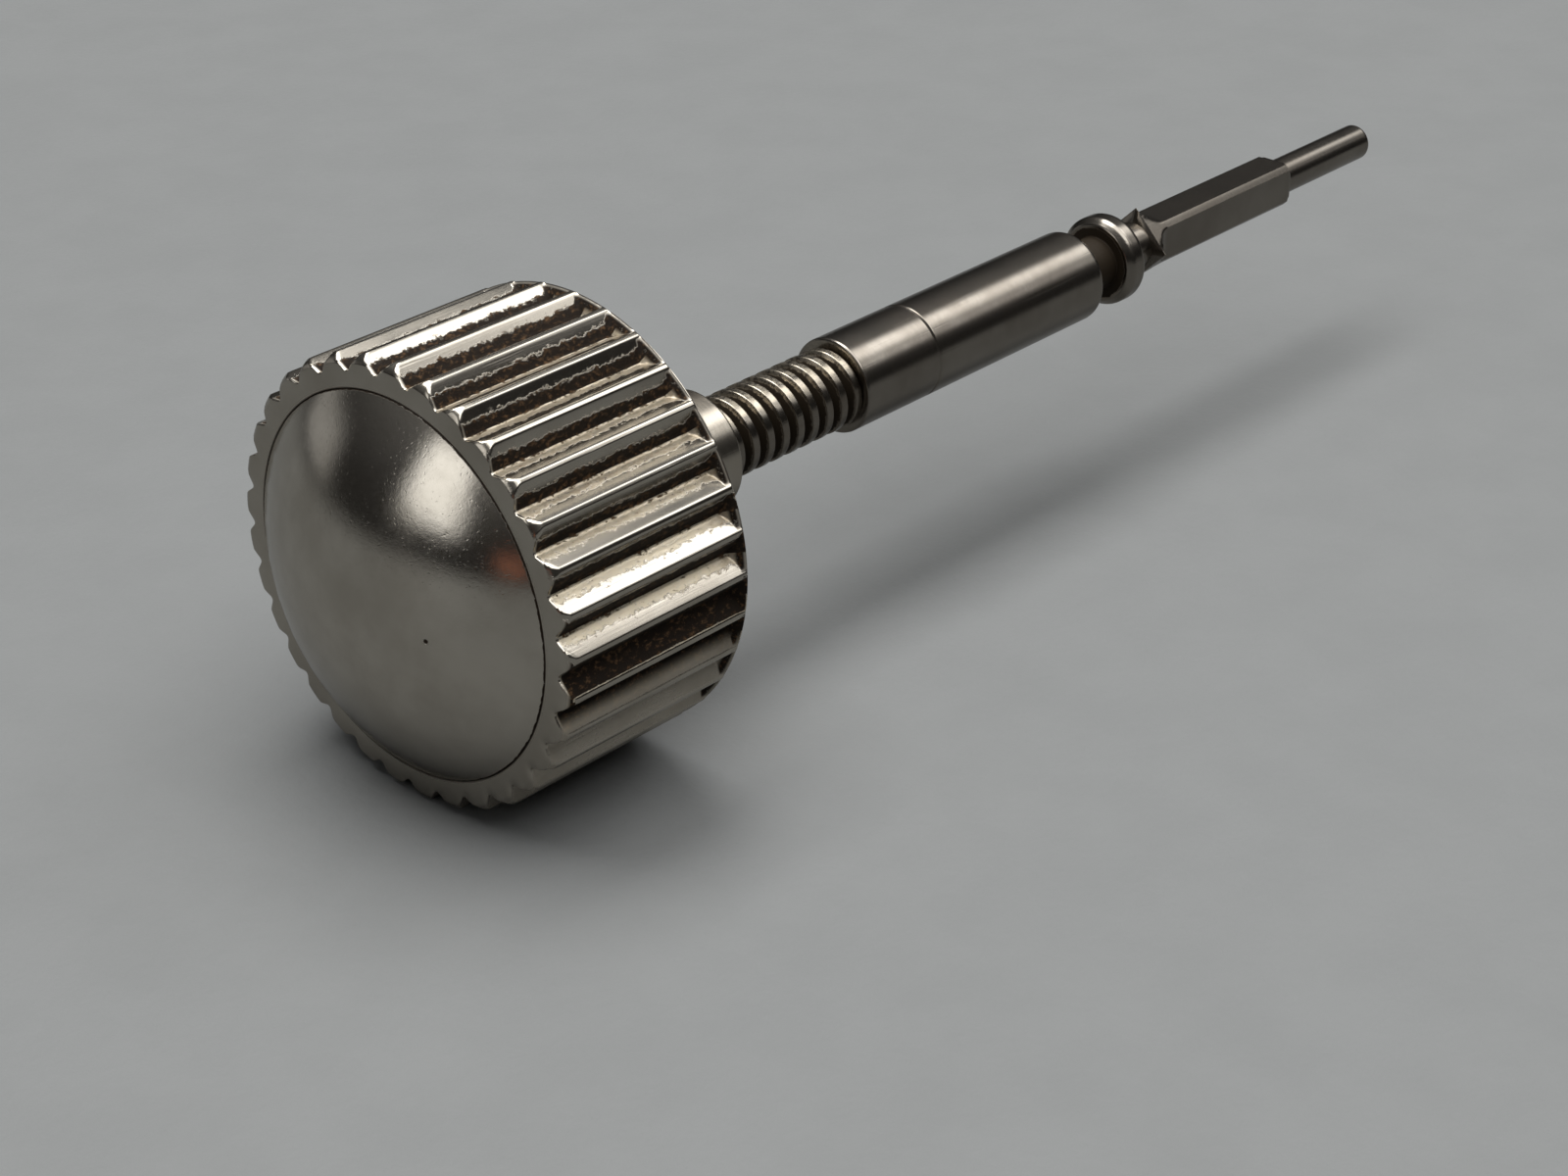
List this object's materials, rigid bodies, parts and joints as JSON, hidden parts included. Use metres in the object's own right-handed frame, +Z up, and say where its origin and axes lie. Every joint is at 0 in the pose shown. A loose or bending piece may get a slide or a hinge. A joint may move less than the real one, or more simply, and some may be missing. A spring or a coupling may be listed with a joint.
{
  "type": "watch crown",
  "caption": "Screw-down winding crown: a fluted head with a domed cap over a sprung clutch pipe, which carries a threaded winding stem with bearing, lever groove, square and pivot.",
  "frame": {"origin": "on the crown's axis, in the plane of the head's rear rim, where the clutch pipe leaves the head", "axes": "+X along the axis from the head towards the tip of the stem, +Z up as the crown lies on its flutes, +Y completing a right-handed set"},
  "size_m": [0.0168, 0.0046, 0.0046],
  "materials": {
    "grip_plate": "bright plated steel, worn on the ridges, with dark grime in the flutes",
    "dome_polish": "polished plated steel with fine handling scratches",
    "core_plate": "turned brass under dull nickel plate",
    "washer_steel": "stamped steel",
    "spring_steel": "drawn spring wire",
    "seal_rubber": "matt black rubber",
    "pipe_steel": "turned steel",
    "stem_steel": "hardened steel, turned and drawn bright along its length"
  },
  "bodies": {
    "head": {"grip_shell": "grip_plate", "dome_cap": "dome_polish", "threaded_core": "core_plate", "thrust_washer": "washer_steel", "clutch_spring": "spring_steel", "pipe_seal": "seal_rubber", "gland_washer": "washer_steel", "tube_gasket": "seal_rubber"},
    "pipe": {"clutch_pipe": "pipe_steel", "winding_stem": "stem_steel"}
  },
  "joints": [
    {"name": "pipe_slide", "type": "slide", "parent": "head", "child": "pipe", "axis": [-1, 0, 0], "range_m": [0, 0.0008], "stiffness_N_per_m": 2800, "deforming": ["clutch_spring"]}
  ]
}
